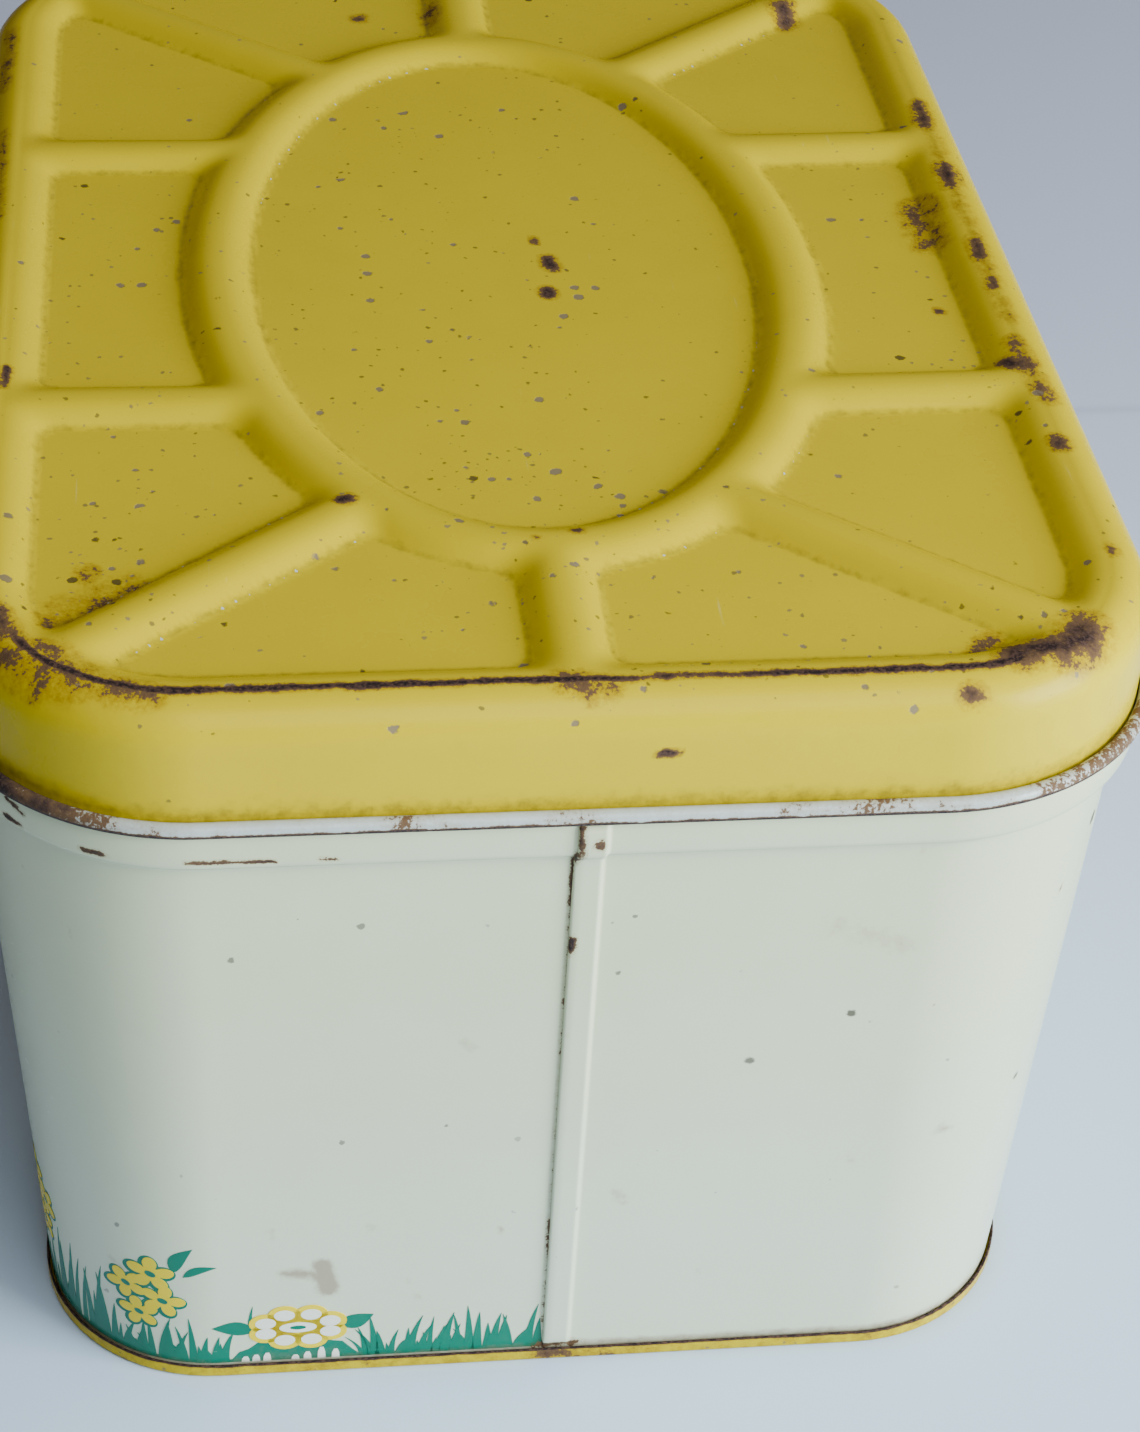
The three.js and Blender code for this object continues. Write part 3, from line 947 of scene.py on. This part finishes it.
def wallGrimeAndShade(co, normal):
    # dirt and painted shadow just above the base band, painted shade just under the curl, and the listed
    # stains
    above = co.z - rimTop
    foot = wallWear["footShade"] * (1 - smooth(0.0034, 0.0052, co.z))
    underCurl = smooth(-0.0045, -0.003, above) * (1 - smooth(-0.003, -0.002, above))
    return max(markedLevel(co, wallGrime), foot, wallWear["underCurlShade"] * underCurl)


def wallTopTint(co, normal):
    # the cream is tinted yellower towards the top
    return smooth(wallWear["tintFrom"], wallWear["tintTo"], co.z)


def coatInside(wall):
    # the inner coat covers the inside and turns out over the curl
    curlFoot = rimTop - 2 * wallForm["curlRadius"] - 0.0002
    for face in wall.data.polygons:
        centre = face.center
        inward = face.normal.dot(planNormal(centre.x, centre.y)) < -0.5
        face.material_index = 1 if inward or centre.z > curlFoot else 0


def dressWall(wall, node):
    wall.data.materials.append(creamPaint)
    wall.data.materials.append(innerCoat)
    coatInside(wall)
    paintField(wall, "rust", wallRustLevel)
    paintField(wall, "grimeAndShade", wallGrimeAndShade)
    paintField(wall, "specks", lambda co, normal: wallWear["specks"])
    paintField(wall, "topTint", wallTopTint)
    paintField(wall, "lineAt", wallLineAt)
    paintField(wall, "lineWearAndShade", lambda co, normal: 1.1)
    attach(wall, "tin")
    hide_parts(node)


frontWall = makeWall("front_wall_shell", -1)
dressWall(frontWall, "front_wall")
backWall = makeWall("back_wall_shell", 1)
dressWall(backWall, "back_wall")
print("walls made")


# printed border

# how far each ink stands off the wall, in metres; places and sizes of the drawing are in mm
inkForm = dict(
    sunk=0.00008, grass=0.00003, layer=0.000012, layers=4, outline=0.0001, petal=0.00013, middle=0.00016,
)
border = dict(
    ground=3.1, seed=11, daisies=(49, 168, 300, 406), daisyHeight=13, daisyRoom=12.5,
    sprays=((79, 22), (109, 27), (138, 24), (205, 22), (240, 27), (268, 21),
            (335, 24), (372, 27), (432, 22)),
)
inkNames = ("green", "yellow", "white")
inks = {ink: ([], []) for ink in inkNames}


def addShape(ink, sections, level, columns=2):
    # a thin closed pad on the wall; each section runs from one edge of the shape to the other, in mm
    points, faces = inks[ink]
    first = len(points)
    width = columns + 1
    for (s0, z0), (s1, z1) in sections:
        for lift in (-inkForm["sunk"], level):
            for i in range(width):
                share = i / columns
                s = s0 + (s1 - s0) * share
                z = z0 + (z1 - z0) * share
                points.append(wallPoint(s / 1000, z / 1000, lift))
    last = len(sections) - 1
    for row in range(last):
        under = first + row * 2 * width
        over = under + width
        for i in range(columns):
            faces.append((under + i, under + i + 1, under + 2 * width + i + 1, under + 2 * width + i))
            faces.append((over + i, over + i + 1, over + 2 * width + i + 1, over + 2 * width + i))
        for i in (0, columns):
            faces.append((under + i, over + i, over + 2 * width + i, under + 2 * width + i))
    for row in (0, last):
        under = first + row * 2 * width
        over = under + width
        for i in range(columns):
            faces.append((under + i, under + i + 1, over + i + 1, over + i))


def addBlade(along, height, width, lean, foot=border["ground"]):
    sections = []
    for i in range(7):
        t = i / 6
        half = width / 2 * (1 - t) ** 0.75 + 0.03
        centre = along + lean * t * t
        sections.append(((centre - half, foot + height * t), (centre + half, foot + height * t)))
    # neighbouring blades overlap, so they take turns to lie a hair higher
    turn = round(abs(along) * 10) % inkForm["layers"]
    addShape("green", sections, inkForm["grass"] + turn * inkForm["layer"])


def addRound(ink, along, z, halfWidth, halfHeight, level, turn=0.0):
    sections = []
    turn = math.radians(turn)
    for i in range(11):
        t = math.pi * i / 10
        across = halfWidth * math.sin(t)
        up = -halfHeight * math.cos(t)
        ends = []
        for side in (-across, across):
            ends.append((along + side * math.cos(turn) - up * math.sin(turn),
                         z + side * math.sin(turn) + up * math.cos(turn)))
        sections.append(tuple(ends))
    addShape(ink, sections, level)


def addLeaf(along, z, length, width, angle, bend=0.12):
    # from its stalk end, pointing along an angle from the horizontal
    sections = []
    ahead = (math.cos(math.radians(angle)), math.sin(math.radians(angle)))
    for i in range(9):
        t = i / 8
        half = width / 2 * math.sin(math.pi * t**0.8) + 0.02
        drift = bend * length * math.sin(math.pi * t)
        s = along + ahead[0] * length * t - ahead[1] * drift
        up = z + ahead[1] * length * t + ahead[0] * drift
        sections.append(((s - ahead[1] * half, up + ahead[0] * half),
                         (s + ahead[1] * half, up - ahead[0] * half)))
    addShape("green", sections, inkForm["grass"])


def addBlossom(along, z, size, turn):
    # a small yellow blossom of five petals over a green edge
    edge = ("green", -0.3, 0.44, inkForm["grass"])
    face = ("yellow", 0, 0.3, inkForm["outline"])
    for ink, shift, wide, level in (edge, face):
        addRound(ink, along + shift, z + shift, size * 0.44, size * 0.44, level)
        for i in range(5):
            angle = math.radians(turn + 72 * i)
            reach = size * 0.62
            addRound(ink, along + shift + reach * math.cos(angle), z + shift + reach * math.sin(angle),
                     size * wide, size * (wide + 0.1), level, turn + 72 * i - 90)
    addRound("green", along, z, size * 0.24, size * 0.17, inkForm["petal"], -25)


def addSpray(along, z, leafSide):
    # four blossoms with a pair of leaves
    blossoms = ((2, 6.6, 4.7, 18), (-3.3, 1.8, 4.2, 48), (4.0, -0.9, 4.4, 5), (-1.0, -5.8, 4.2, 30))
    for ds, dz, size, turn in blossoms:
        addBlossom(along + ds * leafSide, z + dz, size, turn)
    addLeaf(along + 6.3 * leafSide, z + 8, 8.5, 3.0, 62 if leafSide > 0 else 118)
    addLeaf(along + 8.2 * leafSide, z + 7, 7.0, 2.0, 26 if leafSide > 0 else 154)


def addDaisy(along, z, petals):
    # round white petals in yellow outline on a green mound between two leaves
    ground = border["ground"]
    sections = []
    for i in range(15):
        t = i / 14
        edge = 6.4 * (1 - abs(2 * t - 1) ** 3) + 0.5 * math.sin(t * 31)
        s = along - 13.5 + 26 * t
        sections.append(((s, ground), (s, ground + 0.3 + max(edge, 0))))
    addShape("green", sections, inkForm["grass"], 1)
    addLeaf(along - 8.5, z - 0.5, 8.5, 4.0, 172, -0.05)
    addLeaf(along + 8.0, z, 7.5, 4.2, 22, -0.05)
    addBlade(along - 9.4, 5.5, 0.9, 0.6, z + 1.4)
    for i in range(petals):
        angle = 2 * math.pi * (i + 0.5) / petals
        s = along + 6.9 * math.cos(angle)
        up = z + 4.1 * math.sin(angle)
        addRound("yellow", s, up, 3.3, 2.8, inkForm["outline"])
        addRound("white", s, up, 2.05, 1.6, inkForm["petal"])
    addRound("yellow", along, z, 5.6, 3.1, inkForm["outline"])
    addRound("white", along, z, 3.7, 1.55, inkForm["petal"])
    addRound("green", along, z, 1.6, 0.6, inkForm["middle"])
    # white tufts at its foot
    tufts = ((-10.5, 1.6), (-8.4, 2.0), (-6.2, 2.4), (-0.6, 1.4), (1.8, 2.2), (4.6, 3.4), (7.4, 2.6))
    for ds, height in tufts:
        s = along + ds
        sections = []
        for left, right, share in ((0.8, 0.8, 0), (0.7, 0.7, 0.6), (0.3, 0.4, 1)):
            sections.append(((s - left, ground + height * share), (s + right, ground + height * share)))
        addShape("white", sections, inkForm["outline"])


def drawBorder():
    chance = random.Random(border["seed"])
    cornerArc = (plan["corner"] + wallForm["footInset"]) * math.pi / 2
    halfRound = 2 * (plan["sideY"] + cornerArc + plan["endX"]) * 1000
    daisies = border["daisies"]
    for i, along in enumerate(daisies):
        addDaisy(-along, border["daisyHeight"], 8 if i % 2 == 0 else 9)
    for i, (along, z) in enumerate(border["sprays"]):
        addSpray(-along, z, 1 if i % 3 != 1 else -1)
    along = 1.2
    while along < halfRound - 1:
        nearDaisy = min(abs(along - middle) for middle in daisies)
        if nearDaisy > border["daisyRoom"]:
            tall = chance.random() < 0.3
            height = chance.uniform(10.5, 15.5) if tall else chance.uniform(6, 11)
            if 88 < along % 120 < 104:
                height += 9
            width = chance.uniform(1.3, 2.3)
            lean = chance.uniform(-1.6, 2.6)
            addBlade(-along, height, width, lean)
            if chance.random() < 0.5:
                shorter = height * chance.uniform(0.4, 0.7)
                addBlade(-along - 0.7, shorter, width * 0.8, lean - chance.uniform(1, 2.2))
        along += chance.uniform(1.1, 2.3)
    # the ground line under the grass
    sections = []
    steps = round(halfRound / 2.5)
    for i in range(steps + 1):
        s = -0.4 - (halfRound - 0.8) * i / steps
        sections.append(((s, border["ground"]), (s, border["ground"] + 0.8 + 0.25 * chance.random())))
    addShape("green", sections, inkForm["grass"] * 0.8, 1)


inkLook = dict(
    fade=0.8, scratch=rgb(0.5, 0.52, 0.45), grimeAndShade=rgb(0.2, 0.16, 0.1), grimeAndShadeStrength=0.5,
    stain=rgb(0.75, 0.6, 0.45), stainStrength=0.6, speckSize=160.0, speckPale=rgb(0.3, 0.27, 0.2),
    roughness=0.14, rustSize=260.0, creaseShade=0.0, shine=0.2, topTint=rgb(1.0, 1.0, 1.0),
)
inkPaints = dict(
    green=(rgb(0.0, 0.15, 0.085), rgb(0.0, 0.18, 0.105)),
    yellow=(rgb(0.85, 0.61, 0.0), rgb(0.87, 0.64, 0.01)),
    white=(rgb(0.84, 0.83, 0.68), rgb(0.87, 0.86, 0.71)),
)
drawBorder()
for ink in inkNames:
    points, faces = inks[ink]
    mesh = bpy.data.meshes.new("printed_" + ink)
    mesh.from_pydata(points, [], faces)
    printed = bpy.data.objects.new("printed_" + ink, mesh)
    bpy.context.scene.collection.objects.link(printed)
    finishMesh(printed, 30)
    paint, faded = inkPaints[ink]
    printed.data.materials.append(paintedMetal(ink + "Ink", dict(inkLook, paint=paint, faded=faded)))
    paintField(printed, "rust", wallRustLevel)
    paintField(printed, "grimeAndShade", wallGrimeAndShade)
    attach(printed, "tin")
print("border printed")


# base

baseForm = dict(
    sheet=0.0005, bandOuter=-0.0084, channelInner=-0.0103, bandTop=0.0031, panelTop=0.0032,
    round=0.0005, step=0.004, bandRows=(0.0010, 0.0016, 0.0021, 0.0026),
    rings=((-0.014, 0), (-0.0155, 0.0003), (-0.017, 0.0006), (-0.022, 0.0006),
           (-0.035, 0.0006), (-0.0405, 0.0006)),
)


def baseOutline():
    form = baseForm
    sheet = form["sheet"]
    outer = form["bandOuter"]
    inner = form["channelInner"]
    bend = form["round"]
    profile = [(inner - sheet, form["panelTop"] - sheet)]
    profile += arcPoints((inner - sheet + bend, bend), bend, 180, 270, 4)
    profile += arcPoints((outer - bend, bend), bend, -90, 0, 4)
    profile += [(outer, z) for z in form["bandRows"]]
    profile += arcPoints((outer - sheet / 2, form["bandTop"] - sheet / 2), sheet / 2, 0, 180, 6)
    profile += [(outer - sheet, sheet), (inner, sheet)]
    profile += arcPoints((inner - bend, form["panelTop"] - bend), bend, 0, 90, 4)
    return [(plan["halfLength"] + offset, 0, z) for offset, z in profile]


def makeBase():
    form = baseForm
    base = startOutline("base_panel_pan", baseOutline(), False)
    openForEdit(base)
    bpy.ops.mesh.select_all(action="SELECT")
    carryRoundHalf(-1, form["step"], form["step"])
    pickVerts(base, lambda v: v.co.x > plan["endX"] and abs(v.co.y) < 0.00001)
    carryRoundHalf(1, form["step"], form["step"])
    bpy.ops.mesh.select_all(action="SELECT")
    bpy.ops.mesh.remove_doubles(threshold=0.00001)
    # floor and underside, closed ring by ring with a small stiffening step
    for level in (form["panelTop"], form["panelTop"] - form["sheet"]):
        pickVerts(base, lambda v: v.is_boundary and abs(v.co.z - level) < 0.00005)
        for offset, rise in form["rings"]:
            bpy.ops.mesh.extrude_region_move()
            moveSelected(base, lambda co: onPlan(co, offset, level + rise))
        bpy.ops.mesh.edge_face_add()
    closeEdit()
    finishMesh(base, 40)
    return base


base = makeBase()
base.data.materials.append(yellowPaint)
base.data.materials.append(innerCoat)
# the inner coat ends at the channel, and the underside stays yellow
for face in base.data.polygons:
    inside = face.normal.z > 0.3 and planOffset(*face.center.xy) < baseForm["channelInner"]
    face.material_index = 1 if inside else 0
baseMarks = wallMarks([
    ((-1, 2), (6, 2), 1.8, 0.9), ((40, 3), (55, 3), 0.8, 0.6), ((70, 3), (95, 3), 0.9, 0.6),
    ((-60, 1), (-50, 2), 0.8, 0.4),
])


baseWear = dict(
    bandFrom=-0.0112, lineFrom=-0.0095, lineZ=0.0030, lineHalf=0.0004, lineWearAndShade=1.05,
    panelRust=0.14, bandRust=0.12, bandPatches=0.2, panelGrime=0.2, bandGrime=0.3, specks=0.08,
)


def onBand(co):
    return planOffset(co.x, co.y) > baseWear["bandFrom"]


def baseRustLevel(co, normal):
    if not onBand(co):
        return baseWear["panelRust"]
    patches = baseWear["bandPatches"] * smooth(0.1, 0.6, noise.noise(co * 45))
    return max(baseWear["bandRust"] + patches, markLevel(co, baseMarks))


def baseLineAt(co, normal):
    # a dark line runs along the top of the band: rust, and painted shadow of the gap where the wall
    # meets it
    if planOffset(co.x, co.y) > baseWear["lineFrom"]:
        return (co.z - baseWear["lineZ"]) / baseWear["lineHalf"]
    return nowhere


def baseGrimeLevel(co, normal):
    return baseWear["bandGrime"] if onBand(co) else baseWear["panelGrime"]


paintField(base, "rust", baseRustLevel)
paintField(base, "lineAt", baseLineAt)
paintField(base, "lineWearAndShade", lambda co, normal: baseWear["lineWearAndShade"])
paintField(base, "creaseShadeAt", lambda co, normal: nowhere)
paintField(base, "grimeAndShade", baseGrimeLevel)
paintField(base, "specks", lambda co, normal: baseWear["specks"])
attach(base, "tin")
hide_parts("base_panel")
print("base made")


# table, light and camera

tableLook = dict(
    size=3, drop=0.0002, far=rgb(0.63, 0.67, 0.79), near=rgb(0.62, 0.77, 0.92), mottle=0.15,
    jointAt=-0.211, jointHalf=0.0022, joint=rgb(0.3, 0.33, 0.4), jointShow=0.25, roughness=0.55,
)
deselectAll()
bpy.ops.mesh.primitive_plane_add(size=tableLook["size"], location=(0, 0, -tableLook["drop"]))
table = bpy.context.object
table.name = "table"
tableTop, tree, shader = newMaterial("tableTop")
where = putNode(tree, "TexCoord").outputs["Object"]
toFront = putNode(tree, "SeparateXYZ", {0: where}).outputs[0]
# the table is painted lighter and bluer towards the front: painted light, falling off away from the
# lamps
near = ramp(tree, toFront, -0.21, 0.2)
mottle = noiseNode(tree, where, 6.0, 3.0, 0.5).outputs[0]
uneven = times(tree, mathNode(tree, "SUBTRACT", mottle, 0.5), tableLook["mottle"])
near = mathNode(tree, "ADD", near, uneven)
tone = mixColour(tree, near, tableLook["far"], tableLook["near"])
# a faint joint runs across the table behind the tin
fromJoint = mathNode(tree, "ADD", toFront, -tableLook["jointAt"])
joint = nearZero(tree, mathNode(tree, "DIVIDE", fromJoint, tableLook["jointHalf"]))
tone = mixColour(tree, times(tree, joint, tableLook["jointShow"]), tone, tableLook["joint"])
tree.links.new(tone, shader.inputs["Base Color"])
shader.inputs["Roughness"].default_value = tableLook["roughness"]
table.data.materials.append(tableTop)

# a dim room, lighter overhead than level with the tin
world = bpy.data.worlds.new("studio")
bpy.context.scene.world = world
world.use_nodes = True
tree = world.node_tree
up = putNode(tree, "SeparateXYZ", {0: putNode(tree, "TexCoord").outputs["Generated"]}).outputs[2]
level = rgb(0.052, 0.045, 0.047)
overhead = rgb(0.205, 0.188, 0.196)
background = tree.nodes["Background"]
tree.links.new(mixColour(tree, ramp(tree, up, 0.1, 0.75), level, overhead), background.inputs["Color"])
background.inputs["Strength"].default_value = 1.0


def addSoftLight(name, place, target, size, power, colour):
    light = bpy.data.lights.new(name, "AREA")
    light.shape = "SQUARE"
    light.size = size
    light.energy = power
    light.color = colour
    lamp = bpy.data.objects.new(name, light)
    lamp.location = place
    lamp.rotation_euler = (Vector(target) - Vector(place)).to_track_quat("-Z", "Y").to_euler()
    bpy.context.scene.collection.objects.link(lamp)


daylight = (0.79, 0.9, 1.0)
addSoftLight("window", (0.75, 1.15, 0.60), (0, 0, 0.08), 0.8, 38, daylight)
addSoftLight("windowSill", (0.62, 0.80, 0.30), (0, 0, 0.08), 0.6, 8.8, daylight)
addSoftLight("overhead", (0.45, 0.10, 0.56), (0.10, 0, 0.15), 0.4, 2.2, daylight)
addSoftLight("farWall", (-1.3, 0.0, 0.9), (0, 0, 0.1), 1.2, 0.5, (0.85, 0.95, 1.0))

view = dict(place=(0.56528, -0.05958, 0.48395), turn=(52.84, -2.39, 83.89), lens=78.43)
camera = bpy.data.objects.new("camera", bpy.data.cameras.new("camera"))
camera.location = view["place"]
camera.rotation_euler = [math.radians(angle) for angle in view["turn"]]
camera.data.lens = view["lens"]
camera.data.sensor_width = 36
bpy.context.scene.collection.objects.link(camera)
bpy.context.scene.camera = camera
print("stage set")
